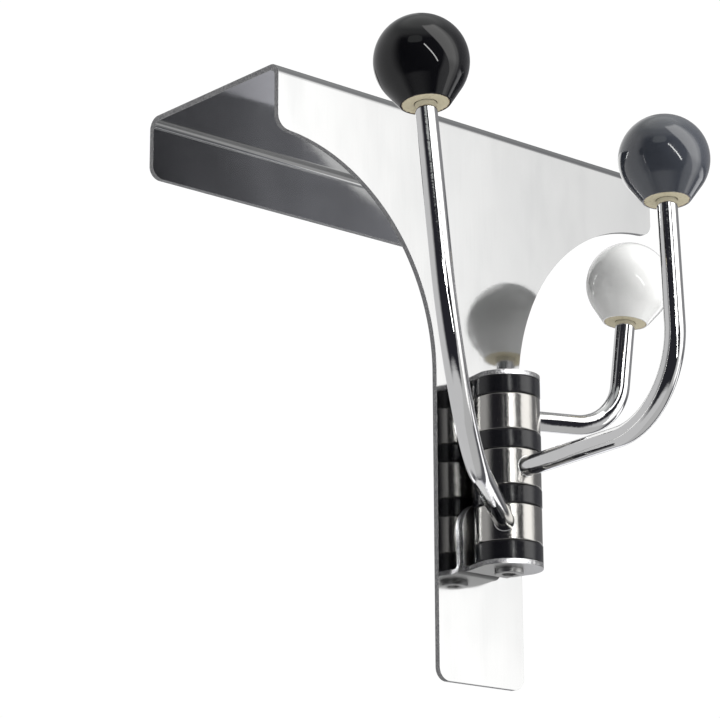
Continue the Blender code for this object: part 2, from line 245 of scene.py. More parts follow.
class Finish(Tree):
    """A material with a Principled shader and patterns in the piece's own coordinates."""

    def __init__(self, name, roughness, metallic=0.0, turn=None, **sockets):
        super().__init__(bpy.data.materials.new(name))
        self.shader = self.nodes["Principled BSDF"]
        self.shader.inputs["Roughness"].default_value = roughness
        self.shader.inputs["Metallic"].default_value = metallic
        for socket, value in sockets.items():
            self.shader.inputs[socket.replace("_", " ")].default_value = value
        self.place = self.make("ShaderNodeTexCoord", output=3)
        if turn is not None:
            self.place = self.make("ShaderNodeMapping", (self.place, None, turn))
        self.normal = None

    def stretched(self, stretch, shift=(0.0, 0.0, 0.0), turn=(0.0, 0.0, 0.0)):
        return self.make("ShaderNodeMapping", (self.place, shift, turn, stretch))

    def noise(self, size, stretch=(1.0, 1.0, 1.0), detail=3.0, rough=0.55, shift=(0.0, 0.0, 0.0)):
        """Noise whose patches are about size metres, drawn out where stretch is below 1."""
        where = self.stretched(stretch, shift)
        node = self.nodes.new("ShaderNodeTexNoise")
        self.links.new(where, node.inputs["Vector"])
        node.inputs["Scale"].default_value = 1.0 / size
        node.inputs["Detail"].default_value = detail
        node.inputs["Roughness"].default_value = rough
        return node.outputs[0]

    def colour(self, value):
        self.put(self.shader.inputs["Base Color"], value)

    def roughness(self, value):
        self.put(self.shader.inputs["Roughness"], value)

    def bump(self, height, depth, strength=1.0):
        """Adds a relief of the given depth in metres on top of what is there."""
        node = self.nodes.new("ShaderNodeBump")
        node.inputs["Strength"].default_value = strength
        node.inputs["Distance"].default_value = depth
        self.put(node.inputs["Height"], height)
        if self.normal is not None:
            self.links.new(self.normal, node.inputs["Normal"])
        self.normal = node.outputs[0]
        self.put(self.shader.inputs["Normal"], self.normal)


# ---- finishes ----
def polished_sheet():
    """Mirror-polished stainless sheet, a little wavy, with faint haze, smears and hairlines."""
    finish = Finish("polished_sheet", 0.05, 1.0)
    cloud = finish.noise(30 * MM, detail=2.0)
    smear = finish.noise(11 * MM, stretch=(1.0, 1.0, 0.35), detail=2.0, shift=(0.6, 0.2, 0.3))
    hair = finish.noise(0.6 * MM, stretch=(1.0, 1.0, 0.04), detail=4.0)
    haze = finish.noise(9 * MM, detail=5.0, shift=(0.3, 0.1, 0.7))
    tone = finish.blend(cloud, (0.50, 0.505, 0.51), (0.55, 0.55, 0.55))
    finish.colour(finish.blend(finish.smooth(smear, 0.42, 0.75, 0.0, 0.35), tone, (0.42, 0.425, 0.43)))
    rough = finish.spread(haze, 0.35, 0.75, 0.045, 0.11)
    finish.roughness(finish.math("ADD", rough, finish.spread(hair, 0.4, 0.9, 0.0, 0.05)))
    finish.bump(finish.noise(42 * MM, detail=1.0), 0.5 * MM, 0.35)
    finish.bump(hair, 0.004 * MM, 0.5)
    return finish.owner


def sheared_edge():
    """The sheet's cut edge: broken grain across the thickness."""
    finish = Finish("sheared_edge", 0.4, 1.0)
    grain = finish.noise(0.35 * MM, detail=6.0, rough=0.7)
    finish.colour(finish.blend(finish.smooth(grain, 0.35, 0.65), (0.16, 0.16, 0.17), (0.48, 0.48, 0.48)))
    finish.roughness(finish.spread(grain, 0.3, 0.7, 0.30, 0.55))
    finish.bump(grain, 0.12 * MM, 0.8)
    return finish.owner


def satin_steel():
    """Barrel-finished stamped steel: soft sheen, fine grain, small pits."""
    finish = Finish("satin_steel", 0.2, 1.0)
    grain = finish.noise(0.4 * MM, detail=6.0, rough=0.65)
    cloud = finish.noise(5 * MM, detail=3.0)
    finish.colour(finish.blend(cloud, (0.50, 0.50, 0.50), (0.58, 0.58, 0.57)))
    finish.roughness(finish.spread(grain, 0.3, 0.7, 0.34, 0.46))
    finish.bump(grain, 0.008 * MM, 0.5)
    return finish.owner


def bright_metal(name, dull, clean, blur, dents):
    """Plated drawn rod or turned collar: ripples as deep as dents, dull specks and haze."""
    finish = Finish(name, 0.03, 1.0)
    ripple = finish.noise(2.2 * MM, detail=3.0)
    speck = finish.noise(0.35 * MM, detail=4.0, shift=(0.2, 0.5, 0.1))
    haze = finish.noise(6 * MM, detail=4.0, shift=(0.9, 0.2, 0.4))
    finish.colour(finish.blend(haze, dull, clean))
    rough = finish.spread(haze, 0.35, 0.75, blur, blur + 0.05)
    finish.roughness(finish.math("ADD", rough, finish.smooth(speck, 0.62, 0.75, 0.0, 0.10)))
    finish.bump(ripple, dents, 0.5)
    finish.bump(speck, 0.12 * dents, 0.6)
    return finish.owner


def black_plastic():
    """Glossy moulded nylon with fine scuffs."""
    finish = Finish("black_plastic", 0.16, 0.0)
    grain = finish.noise(0.5 * MM, detail=5.0, rough=0.6)
    cloud = finish.noise(4 * MM, detail=3.0)
    finish.colour(finish.blend(cloud, (0.006, 0.006, 0.008), (0.012, 0.012, 0.015)))
    finish.roughness(finish.spread(grain, 0.3, 0.75, 0.10, 0.30))
    finish.bump(grain, 0.02 * MM, 0.4)
    return finish.owner


def lacquer(name, colour, gloss, shine):
    """Dipped gloss paint on a turned wooden ball."""
    finish = Finish("lacquer_" + name, 0.12, 0.0, Coat_Weight=1.0, Coat_Roughness=gloss,
                    Specular_IOR_Level=shine)
    sag = finish.noise(5 * MM, detail=2.0)
    peel = finish.noise(1.1 * MM, detail=2.0, shift=(0.4, 0.6, 0.2))
    lighter = tuple(min(1.0, c * 1.12 + 0.001) for c in colour)
    finish.colour(finish.blend(sag, colour, lighter))
    finish.roughness(finish.spread(peel, 0.3, 0.7, 0.08, 0.16))
    finish.bump(sag, 0.05 * MM, 0.5)
    finish.bump(peel, 0.003 * MM, 0.5)
    return finish.owner


def bare_wood(name, colour, turn):
    """Unpainted turned flat: pale wood with pores, and paint dragged in from the rim."""
    finish = Finish("bare_wood_" + name, 0.62, 0.0, turn)
    fibre = finish.noise(0.5 * MM, stretch=(1.0, 0.12, 1.0), detail=5.0, rough=0.7)
    pore = finish.noise(0.25 * MM, stretch=(1.0, 0.3, 1.0), detail=2.0, shift=(0.3, 0.8, 0.5))
    split = finish.make("ShaderNodeSeparateXYZ", (finish.place,))
    x, y = split, split.node.outputs[1]
    squares = finish.math("ADD", finish.math("MULTIPLY", x, x), finish.math("MULTIPLY", y, y))
    radius = finish.math("SQRT", squares)
    ragged = finish.noise(0.7 * MM, detail=4.0, rough=0.7, shift=(0.7, 0.1, 0.9))
    reach = finish.math("ADD", radius, finish.spread(ragged, 0.3, 0.7, -0.30 * MM, 0.30 * MM))
    edge = finish.smooth(reach, 4.80 * MM, 4.95 * MM)
    paint = finish.smooth(reach, 5.0 * MM, 5.12 * MM)
    wood = finish.blend(fibre, (0.60, 0.53, 0.36), (0.72, 0.66, 0.48))
    wood = finish.blend(finish.smooth(pore, 0.60, 0.72), wood, (0.42, 0.34, 0.20))
    wood = finish.blend(edge, wood, (0.22, 0.15, 0.09))
    finish.colour(finish.blend(paint, wood, colour))
    finish.roughness(finish.spread(fibre, 0.3, 0.7, 0.5, 0.7))
    finish.bump(fibre, 0.03 * MM, 0.6)
    return finish.owner


def pale_floor():
    """Even, matt and pale, with faint clouds."""
    finish = Finish("pale_floor", 0.6, 0.0)
    cloud = finish.noise(0.35, detail=2.0)
    finish.colour(finish.blend(cloud, (0.74, 0.74, 0.74), (0.78, 0.78, 0.78)))
    return finish.owner


# ---- outlines ----
def arc_points(centre, radii, start, end, steps):
    """Points of an elliptic arc from start to end, in degrees."""
    points = []
    for step in range(steps + 1):
        angle = math.radians(start + (end - start) * step / steps)
        points.append((centre[0] + radii[0] * math.cos(angle), centre[1] + radii[1] * math.sin(angle)))
    return points


def mirrored(points):
    """The points of a right half, followed by their mirror images in reverse."""
    return points + [(-x, y) for x, y in reversed(points)]


def rounded(points, radius, steps=4, keep=()):
    """An open polyline with its corners rounded, apart from its ends and those in keep."""
    result = [points[0]]
    for index in range(1, len(points) - 1):
        here = Vector(points[index])
        back = Vector(points[index - 1]) - here
        ahead = Vector(points[index + 1]) - here
        straight = abs(back.normalized().dot(ahead.normalized()) + 1.0) < 1e-4
        if straight or index in keep:
            result.append(points[index])
            continue
        corner = back.angle(ahead)
        cut = min(radius / math.tan(corner / 2), back.length * 0.49, ahead.length * 0.49)
        first = here + back.normalized() * cut
        last = here + ahead.normalized() * cut
        middle = (first + last) / 2
        bulge = cut * math.tan(corner / 2)
        centre = here + (middle - here).normalized() * math.hypot(cut, bulge)
        start = first - centre
        sweep = start.angle_signed(last - centre)
        for step in range(steps + 1):
            turn = -sweep * step / steps
            point = centre + Matrix.Rotation(turn, 2) @ start
            result.append((point.x, point.y))
    result.append(points[-1])
    return result


# ---- meshes ----
def new_piece(name, body, materials, matrix=None):
    """An object from a bmesh, smooth, with its normals outwards.  A turn goes into the
    mesh, so that the object itself is only shifted."""
    bmesh.ops.recalc_face_normals(body, faces=body.faces)
    if body.calc_volume(signed=True) < 0.0:
        bmesh.ops.reverse_faces(body, faces=body.faces)
    if matrix is not None:
        bmesh.ops.transform(body, matrix=matrix.to_3x3().to_4x4(), verts=body.verts)
    mesh = bpy.data.meshes.new(name)
    body.to_mesh(mesh)
    body.free()
    for material in materials:
        mesh.materials.append(material)
    obj = bpy.data.objects.new(name, mesh)
    bpy.context.scene.collection.objects.link(obj)
    if matrix is not None:
        obj.location = matrix.translation
    mesh.shade_smooth()
    return obj


def weigh_normals(obj, sharp_angle=50.0):
    """Keeps broad faces flat where they meet narrow rounded edges."""
    obj.data.set_sharp_from_angle(angle=math.radians(sharp_angle))
    modifier = obj.modifiers.new("broad_faces", "WEIGHTED_NORMAL")
    modifier.mode = "FACE_AREA"
    modifier.weight = 100
    modifier.keep_sharp = True
    bpy.context.view_layer.update()
    depsgraph = bpy.context.evaluated_depsgraph_get()
    mesh = bpy.data.meshes.new_from_object(obj.evaluated_get(depsgraph))
    mesh.name = obj.name
    old = obj.data
    obj.modifiers.clear()
    obj.data = mesh
    bpy.data.meshes.remove(old)
    return obj


def lathe(body, profile, steps, material_of=None):
    """Turns (radius, height) points about Z into faces of body.  A closed profile gives a ring."""
    rings = []
    for radius, height in profile:
        if radius < EPS:
            rings.append([body.verts.new((0.0, 0.0, height))])
            continue
        ring = []
        for step in range(steps):
            angle = 2 * math.pi * step / steps
            ring.append(body.verts.new((radius * math.cos(angle), radius * math.sin(angle), height)))
        rings.append(ring)
    if profile[0] == profile[-1]:
        for vertex in rings[-1]:
            body.verts.remove(vertex)
        rings[-1] = rings[0]
    for index, (upper, lower) in enumerate(zip(rings, rings[1:])):
        for step in range(steps):
            after = (step + 1) % steps
            corners = [upper[step % len(upper)], lower[step % len(lower)],
                       lower[after % len(lower)], upper[after % len(upper)]]
            unique = list(dict.fromkeys(corners))
            if len(unique) < 3:
                continue
            face = body.faces.new(unique)
            if material_of:
                face.material_index = material_of(index)
    return body


def turned(name, profile, materials, centre, steps=96, sharp_angle=50.0, material_of=None):
    body = lathe(bmesh.new(), profile, steps, material_of)
    obj = new_piece(name, body, materials, Matrix.Translation(centre))
    return weigh_normals(obj, sharp_angle)


def flat_sheet(loops, thickness, edge, steps=2):
    """A flat sheet in XY with rounded rims, from its outline and any holes."""
    curve = bpy.data.curves.new("outline", "CURVE")
    curve.dimensions = "2D"
    curve.fill_mode = "BOTH"
    curve.extrude = thickness / 2
    for loop in loops:
        spline = curve.splines.new("POLY")
        spline.points.add(len(loop) - 1)
        for point, (x, y) in zip(spline.points, loop):
            point.co = (x, y, 0.0, 1.0)
        spline.use_cyclic_u = True
    obj = bpy.data.objects.new("outline", curve)
    bpy.context.scene.collection.objects.link(obj)
    bpy.context.view_layer.update()
    depsgraph = bpy.context.evaluated_depsgraph_get()
    mesh = bpy.data.meshes.new_from_object(obj.evaluated_get(depsgraph))
    body = bmesh.new()
    body.from_mesh(mesh)
    bpy.data.objects.remove(obj)
    bpy.data.curves.remove(curve)
    bpy.data.meshes.remove(mesh)
    bmesh.ops.remove_doubles(body, verts=body.verts, dist=EPS)
    bmesh.ops.recalc_face_normals(body, faces=body.faces)
    bmesh.ops.dissolve_limit(body, angle_limit=math.radians(1), verts=body.verts, edges=body.edges)
    for face in body.faces:
        face.material_index = 0 if abs(face.normal.z) > 0.5 else 1
    rims = []
    for border in body.edges:
        kinds = {face.material_index for face in border.link_faces}
        if kinds == {0, 1}:
            rims.append(border)
    bmesh.ops.bevel(body, geom=rims, offset=edge, offset_type="OFFSET", segments=steps,
                    profile=0.5, affect="EDGES", material=0, clamp_overlap=True)
    return body


def folded_point(point, start, direction, normal, path):
    place = Vector(start)
    along = Vector(direction)
    side = Vector(normal)
    left = point.y
    for index, item in enumerate(path):
        last = index == len(path) - 1
        if item[0] == "straight":
            length = item[1]
            if left <= length + EPS or last:
                break
            place = place + along * length
        else:
            radius = item[1]
            turn = math.radians(item[2])
            length = radius * abs(turn)
            part = min(left / length, 1.0) * turn
            toward = -side
            centre = place + toward * radius
            spin = Matrix.Rotation(part, 3, along.cross(toward))
            place = centre + spin @ (place - centre)
            along = spin @ along
            side = spin @ side
            if left <= length + EPS:
                left = 0.0
                break
        left -= length
    return place + along * left + side * point.z + Vector((point.x, 0, 0))


def fold(body, start, direction, normal, path, steps=20):
    """Bends a flat sheet along its own Y, along straight runs and bends in order."""
    run = 0.0
    for item in path:
        length = item[1] if item[0] == "straight" else item[1] * math.radians(abs(item[2]))
        if item[0] == "bend":
            for step in range(steps + 1):
                station = run + length * step / steps
                geometry = body.verts[:] + body.edges[:] + body.faces[:]
                bmesh.ops.bisect_plane(body, geom=geometry, dist=EPS,
                                       plane_co=(0, station, 0), plane_no=(0, 1, 0))
        run += length
    for vertex in body.verts:
        vertex.co = folded_point(vertex.co, start, direction, normal, path)
    return body


# ---- the object's pieces ----
def plate_outline():
    """The plate's flat pattern: X across, Y from the strip's lower end to the lip's edge."""
    half_width = PLATE_WIDTH / 2
    half_strip = STRIP_WIDTH / 2
    middle_radius = BEND_OUTER_RADIUS - SHEET / 2
    bend_length = middle_radius * math.pi / 2
    front = PLATE_HEIGHT - BEND_OUTER_RADIUS
    flange = CHANNEL_DEPTH - 2 * BEND_OUTER_RADIUS
    total = front + bend_length + flange + bend_length + LIP_HEIGHT - BEND_OUTER_RADIUS
    wing_bottom = PLATE_HEIGHT - WING_HEIGHT
    centre = (half_strip + SWEEP_ACROSS, wing_bottom - SWEEP_DOWN)
    corner_x = half_width - WING_CORNER_RADIUS
    sweep_end = math.degrees(math.acos((corner_x - centre[0]) / SWEEP_ACROSS))
    right = arc_points((half_strip - STRIP_CORNER_RADIUS, STRIP_CORNER_RADIUS),
                       (STRIP_CORNER_RADIUS, STRIP_CORNER_RADIUS), -90, 0, 12)
    right += arc_points(centre, (SWEEP_ACROSS, SWEEP_DOWN), 180, sweep_end, 64)
    right += arc_points((corner_x, wing_bottom + WING_CORNER_RADIUS),
                        (WING_CORNER_RADIUS, WING_CORNER_RADIUS), -90, 0, 12)
    right += arc_points((half_width - LIP_CORNER_RADIUS, total - LIP_CORNER_RADIUS),
                        (LIP_CORNER_RADIUS, LIP_CORNER_RADIUS), 0, 90, 12)
    path = [("straight", front), ("bend", middle_radius, 90), ("straight", flange),
            ("bend", middle_radius, 90), ("straight", LIP_HEIGHT - BEND_OUTER_RADIUS)]
    return mirrored(right), path


def build_plate(finishes):
    outline, path = plate_outline()
    body = flat_sheet([outline], SHEET, PLATE_EDGE)
    fold(body, (0, PLATE_FRONT_Y + SHEET / 2, PLATE_LOW_Z), (0, 0, 1), (0, -1, 0), path)
    plate = new_piece("door_plate_sheet", body, [finishes["sheet"], finishes["edge"]])
    weigh_normals(plate, 60.0)
    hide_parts("door_plate")
    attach(plate, "plate")


def build_lug(name, tab_inner, upward, finishes):
    """An L-shaped lug with a rounded foot against the plate and a round tab on the stack."""
    middle_radius = LUG_BEND_INNER_RADIUS + LUG_SHEET / 2
    outer_radius = LUG_BEND_INNER_RADIUS + LUG_SHEET
    foot = LUG_FOOT_HEIGHT - outer_radius
    bend_length = middle_radius * math.pi / 2
    reach = AXIS_OFFSET - LUG_BACK_GAP - outer_radius
    axis_at = foot + bend_length + reach
    waist_at = foot + bend_length / 2
    half_waist = LUG_HALF_WIDTH - LUG_WAIST
    right = arc_points((0, LUG_HALF_WIDTH), (LUG_HALF_WIDTH, LUG_HALF_WIDTH), -90, 0, 32)[1:]
    corner = [right[-1], (half_waist, waist_at - bend_length), (half_waist, waist_at + bend_length),
              (TAB_RADIUS, axis_at)]
    right = right[:-1] + rounded(corner, 3 * MM, 6)
    right += arc_points((0, axis_at), (TAB_RADIUS, TAB_RADIUS), 0, 90, 32)[1:-1]
    outline = mirrored(right)
    outline.append((0.0, 0.0))
    outline.insert(len(right), (0.0, axis_at + TAB_RADIUS))
    hole = arc_points((0, axis_at), (BORE_RADIUS, BORE_RADIUS), 0, 352.5, 47)
    body = flat_sheet([outline, hole], LUG_SHEET, LUG_EDGE)
    foot_middle = PLATE_FRONT_Y - LUG_BACK_GAP - LUG_SHEET / 2
    far_end = tab_inner - upward * LUG_SHEET + upward * LUG_FOOT_HEIGHT
    path = [("straight", foot), ("bend", middle_radius, 90), ("straight", reach + TAB_RADIUS)]
    fold(body, (0, foot_middle, far_end), (0, 0, -upward), (0, 1, 0), path, 12)
    lug = new_piece(name + "_stamping", body, [finishes["satin"], finishes["edge"]])
    weigh_normals(lug, 60.0)
    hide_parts(name)
    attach(lug, "plate")
    return lug


def ring_profile(inner, outer, half, edge):
    """A closed ring section from its top inner corner, with rounded outer corners."""
    corners = [(inner, half), (outer, half), (outer, -half), (inner, -half)]
    section = rounded(corners, edge, 5)
    return section + [section[0]]


def build_rings(finishes):
    half = RING_PITCH / 2 - SEAM / 2
    for index in range(4):
        middle = STACK_TOP - index * (RING_PITCH + COLLAR_PITCH) - RING_PITCH / 2
        profile = ring_profile(BORE_RADIUS, RING_RADIUS, half, RING_EDGE)
        ring = turned(f"washer_{index + 1}", profile, [finishes["plastic"]], (0, AXIS_Y, middle))
        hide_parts(f"spacer_ring_{index + 1}")
        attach(ring, "plate")


def build_sleeve(finishes):
    """The pivot tube, with a thin rounded head above the upper lug."""
    head_low = STACK_TOP + LUG_SHEET + HEAD_GAP
    head_top = head_low + SLEEVE_HEAD_HEIGHT
    low = STACK_LOW - LUG_SHEET
    corners = [(0.0, head_top), (SLEEVE_HEAD_RADIUS, head_top), (SLEEVE_HEAD_RADIUS, head_low),
               (SLEEVE_RADIUS, head_low), (SLEEVE_RADIUS, low), (SLEEVE_BORE_RADIUS, low),
               (SLEEVE_BORE_RADIUS, head_low - MM), (0.0, head_low - MM)]
    profile = rounded(corners, 0.35 * MM, 5, keep=(2, 3, 6))
    sleeve = turned("pivot_tube", profile, [finishes["satin"]], (0, AXIS_Y, 0), 64)
    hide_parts("pivot_sleeve")
    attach(sleeve, "plate")


def socket_rim(body, height, count=48):
    """Vertices of a six-sided socket's mouth, as many as the turned head has."""
    ring = []
    for step in range(count):
        angle = 2 * math.pi * step / count
        sector = (angle + math.pi / 6) % (math.pi / 3) - math.pi / 6
        radius = SOCKET_RADIUS * math.cos(math.pi / 6) / math.cos(sector)
        ring.append(body.verts.new((radius * math.cos(angle), radius * math.sin(angle), height)))
    return ring


def build_screw(finishes):
    """The socket screw that closes the pivot from below."""
    count = 48
    head_top = STACK_LOW - LUG_SHEET - HEAD_GAP
    head_low = head_top - SCREW_HEAD_HEIGHT
    corners = [(0.0, head_top + SCREW_SHANK_LENGTH), (SCREW_SHANK_RADIUS, head_top + SCREW_SHANK_LENGTH),
               (SCREW_SHANK_RADIUS, head_top), (SCREW_HEAD_RADIUS, head_top),
               (SCREW_HEAD_RADIUS, head_low), (SOCKET_RADIUS + 0.25 * MM, head_low)]
    profile = rounded(corners, 0.3 * MM, 4, keep=(2, 3))
    body = lathe(bmesh.new(), profile, count)
    body.verts.ensure_lookup_table()
    outer = [v for v in body.verts if abs(v.co.z - head_low) < EPS
             and abs(math.hypot(v.co.x, v.co.y) - profile[-1][0]) < EPS]
    outer.sort(key=lambda v: math.atan2(v.co.y, v.co.x) % (2 * math.pi - EPS))
    loops = [outer, socket_rim(body, head_low + 0.12 * MM), socket_rim(body, head_low + SOCKET_DEPTH)]
    for first, second in zip(loops, loops[1:]):
        for step in range(count):
            after = (step + 1) % count
            body.faces.new((first[step], second[step], second[after], first[after]))
    body.faces.new(loops[-1])
    screw = new_piece("pivot_bolt", body, [finishes["satin"]], Matrix.Translation((0, AXIS_Y, 0)))
    weigh_normals(screw, 40.0)
    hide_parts("pivot_screw")
    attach(screw, "plate")


def arm_matrix(shape, height):
    spin = Matrix.Rotation(math.radians(shape["bearing"]), 4, "Z")
    tilt = Matrix.Rotation(math.radians(shape["tilt"]), 4, "X")
    return Matrix.Translation((0, AXIS_Y, height)) @ spin, tilt


def arm_end(shape, steps):
    """The arc's points and the stem's direction, in the arm's XZ plane."""
    turn = math.radians(shape["turn"])
    arc = []
    for step in range(steps + 1):
        angle = turn * step / steps
        arc.append((shape["root"] + shape["bend"] * math.sin(angle),
                    shape["bend"] * (1 - math.cos(angle)), angle))
    return arc, Vector((math.cos(turn), 0.0, math.sin(turn)))


def root_rings(sides, tilt):
    """Rings of the rod's root: its end in the collar, then a fillet off the collar's wall."""
    rings = []
    steps = 8
    lean = math.radians(tilt)
    stations = [(ROD_RADIUS, None, ROD_START), (ROD_RADIUS, -0.6 * MM, None),
                (ROD_RADIUS + ROOT_FILLET, -0.15 * MM, None)]
    for step in range(steps + 1):
        bow = math.pi / 2 * step / steps
        stations.append((ROD_RADIUS + ROOT_FILLET * (1 - math.sin(bow)),
                         ROOT_FILLET * (1 - math.cos(bow)), None))
    for radius, lift, place in stations:
        ring = []
        for side in range(sides):
            angle = 2 * math.pi * side / sides
            across = radius * math.cos(angle)
            up = radius * math.sin(angle)
            level = across * math.cos(lean) - up * math.sin(lean)
            wall = math.sqrt(COLLAR_RADIUS ** 2 - level ** 2)
            ring.append((place if place is not None else wall + lift, across, up))
        rings.append(ring)
    return rings


def build_rod(name, shape, matrix, finishes):
    """The bent rod as one closed mesh, from inside the collar to inside the knob."""
    sides = 48
    arc, direction = arm_end(shape, max(24, round(shape["turn"] / 2)))
    rings = root_rings(sides, shape["tilt"])
    stations = [(ROD_START + (shape["root"] - ROD_START) * share, 0.0, 0.0) for share in (0.45, 0.7, 0.9)]
    stations = [s for s in stations if s[0] > COLLAR_RADIUS + 2 * ROOT_FILLET]
    stations += arc
    last = arc[-1]
    for share in (0.33, 0.66, 1.0):
        way = (shape["stem"] + ROD_IN_KNOB) * share
        stations.append((last[0] + direction.x * way, last[1] + direction.z * way, last[2]))
    for x, z, angle in stations:
        ring = []
        for side in range(sides):
            around = 2 * math.pi * side / sides
            out = ROD_RADIUS * math.sin(around)
            ring.append((x - out * math.sin(angle), ROD_RADIUS * math.cos(around), z + out * math.cos(angle)))
        rings.append(ring)
    body = bmesh.new()
    loops = [[body.verts.new(point) for point in ring] for ring in rings]
    for first, second in zip(loops, loops[1:]):
        for side in range(sides):
            after = (side + 1) % sides
            body.faces.new((first[side], first[after], second[after], second[side]))
    body.faces.new(loops[0])
    body.faces.new(loops[-1])
    rod = new_piece("rod_" + name, body, [finishes["chrome"]], matrix)
    rod.data.set_sharp_from_angle(angle=math.radians(50))
    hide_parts("arm_" + name)
    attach(rod, "swing_" + name)
    return rod


def knob_profile():
    """A ball that runs into a cone down to its flat, with a blind hole for the rod."""
    rim = math.hypot(KNOB_FLAT_RADIUS, KNOB_FLAT_BELOW_CENTRE)
    rim_angle = math.degrees(math.atan2(KNOB_FLAT_RADIUS, KNOB_FLAT_BELOW_CENTRE))
    tangent = rim_angle + math.degrees(math.acos(KNOB_RADIUS / rim))
    hole_top = ROD_IN_KNOB - KNOB_FLAT_BELOW_CENTRE + 0.3 * MM
    flat = -KNOB_FLAT_BELOW_CENTRE + FLAT_RECESS
    ball = arc_points((0, 0), (KNOB_RADIUS, KNOB_RADIUS), 90, tangent - 90, 48)
    ball[0] = (0.0, KNOB_RADIUS)
    rim_corner = [ball[-1], (KNOB_FLAT_RADIUS, -KNOB_FLAT_BELOW_CENTRE),
                  (KNOB_FLAT_RADIUS - 0.3 * MM, -KNOB_FLAT_BELOW_CENTRE)]
    painted = ball[:-1] + rounded(rim_corner, 0.14 * MM, 5)
    mouth = 0.10 * MM
    bare = [(KNOB_FLAT_RADIUS - 0.33 * MM, flat), (3.6 * MM, flat), (HOLE_RADIUS + mouth, flat),
            (HOLE_RADIUS, flat + mouth), (HOLE_RADIUS, hole_top), (0.0, hole_top)]
    return painted + bare, len(painted)


def build_knob(name, shape, matrix, finishes):
    arc, direction = arm_end(shape, 8)
    far = shape["stem"] + KNOB_FLAT_BELOW_CENTRE
    centre = Vector((arc[-1][0], 0.0, arc[-1][1])) + direction * far
    lean = Matrix.Rotation(math.radians(90 - shape["turn"]), 4, "Y")
    profile, painted = knob_profile()
    body = lathe(bmesh.new(), profile, 128, lambda index: 0 if index < painted - 1 else 1)
    place = matrix @ Matrix.Translation(centre) @ lean
    back = place.to_3x3().inverted().to_euler("XYZ")
    materials = [lacquer(name, shape["colour"], shape["gloss"], shape["shine"]),
                 bare_wood(name, shape["colour"], back)]
    knob = new_piece("ball_" + name, body, materials, place)
    weigh_normals(knob, 40.0)
    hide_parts("knob_" + name)
    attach(knob, "swing_" + name)


def build_arms(finishes):
    """Collar, rod and knob of each arm.  Returns the collars and rods."""
    half = COLLAR_PITCH / 2 - SEAM / 2
    metal = []
    for index, (name, shape) in enumerate(ARMS.items()):
        height = STACK_TOP - (index + 1) * RING_PITCH - (index + 0.5) * COLLAR_PITCH
        upright, tilt = arm_matrix(shape, height)
        profile = ring_profile(BORE_RADIUS, COLLAR_RADIUS, half, COLLAR_EDGE)
        collar = turned("hub_" + name, profile, [finishes["nickel"]], (0, AXIS_Y, height), 128)
        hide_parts("collar_" + name)
        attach(collar, "swing_" + name)
        metal += [collar, build_rod(name, shape, upright @ tilt, finishes)]
        build_knob(name, shape, upright @ tilt, finishes)
    return metal


# ---- studio ----
class Studio(Tree):
    """The world's nodes, with the azimuth and elevation of each direction in degrees."""

    def __init__(self, world):
        super().__init__(world)
        turned_to = (0.0, 0.0, math.radians(STUDIO_TURN))
        way = self.make("ShaderNodeMapping", (self.make("ShaderNodeTexCoord"), None, turned_to),
                        vector_type="VECTOR")
        split = self.make("ShaderNodeSeparateXYZ", (way,))
        x, y, z = split, split.node.outputs[1], split.node.outputs[2]
        self.azimuth = self.math("DEGREES", self.math("ARCTAN2", x, self.math("MULTIPLY", y, -1.0)))
        self.elevation = self.math("DEGREES", self.math("ARCSINE", z))
        self.sky = WALL

    def slanted(self, across, up):
        return self.math("ADD", self.math("MULTIPLY", self.azimuth, across),
                         self.math("MULTIPLY", self.elevation, up))

    def above(self, value, span, low=0.0):
        """low below the span, 1 above it, and smooth in it."""
        return self.smooth(value, *span, low, 1.0)

    def below(self, value, span, high=0.0):
        """1 below the span, high above it, and smooth in it."""
        return self.smooth(value, *span, 1.0, high)

    def both(self, *masks):
        result = masks[0]
        for mask in masks[1:]:
            result = self.math("MULTIPLY", result, mask)
        return result

    def paint(self, mask, colour):
        self.sky = self.blend(mask, self.sky, colour)


def paint_walls(studio):
    """The room: lighter on the left, dim on the right and behind, light above and below."""
    azimuth = studio.azimuth
    elevation = studio.elevation
    studio.paint(studio.above(azimuth, RIGHT_WALL_FROM), RIGHT_WALL)
    ground = studio.both(studio.below(elevation, LOW_GROUND_BELOW), studio.above(azimuth, LOW_GROUND_FROM))
    studio.paint(ground, LOW_GROUND)
    around = studio.math("WRAP", azimuth, 360.0, 0.0)
    behind = studio.within(around, *BEHIND_WIDTH, 6.0)
    studio.paint(studio.both(behind, studio.within(elevation, *BEHIND_HEIGHT, 4.0)), BEHIND)
    dusk = studio.both(studio.below(around, DUSK_FALL), studio.above(around, DUSK_RISE),
                       studio.within(elevation, *DUSK_HEIGHT, 2.0))
    studio.paint(dusk, DUSK)
    studio.paint(studio.above(elevation, HIGH_FROM), HIGH)
    studio.paint(studio.above(elevation, CEILING_FROM), CEILING)
    return behind


